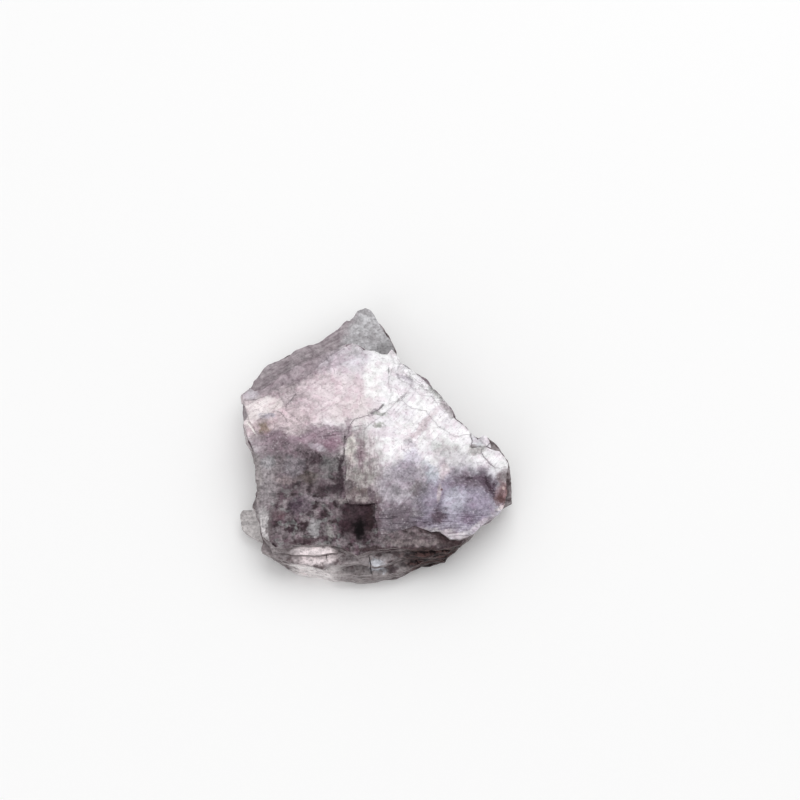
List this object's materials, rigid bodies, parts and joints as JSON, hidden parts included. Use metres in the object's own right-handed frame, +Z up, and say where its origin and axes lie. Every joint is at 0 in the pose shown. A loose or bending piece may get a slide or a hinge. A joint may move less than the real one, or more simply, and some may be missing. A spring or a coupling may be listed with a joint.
{
  "type": "mica crystal",
  "caption": "Flat broken book of pearly lilac mica with stepped cleavage terraces, a thin tongue and a ragged layered rim, lying on its underside.",
  "frame": {"origin": "centre of the bounding box's underside, where the book rests", "axes": "+Z up, square to the cleavage leaves; +Y towards the thin tongue; +X towards the rounded lobe"},
  "size_m": [0.0664, 0.0746, 0.0108],
  "materials": {
    "mica": "pearly, silvery lilac"
  },
  "bodies": {
    "root": {"mica_book": "mica"}
  },
  "joints": []
}
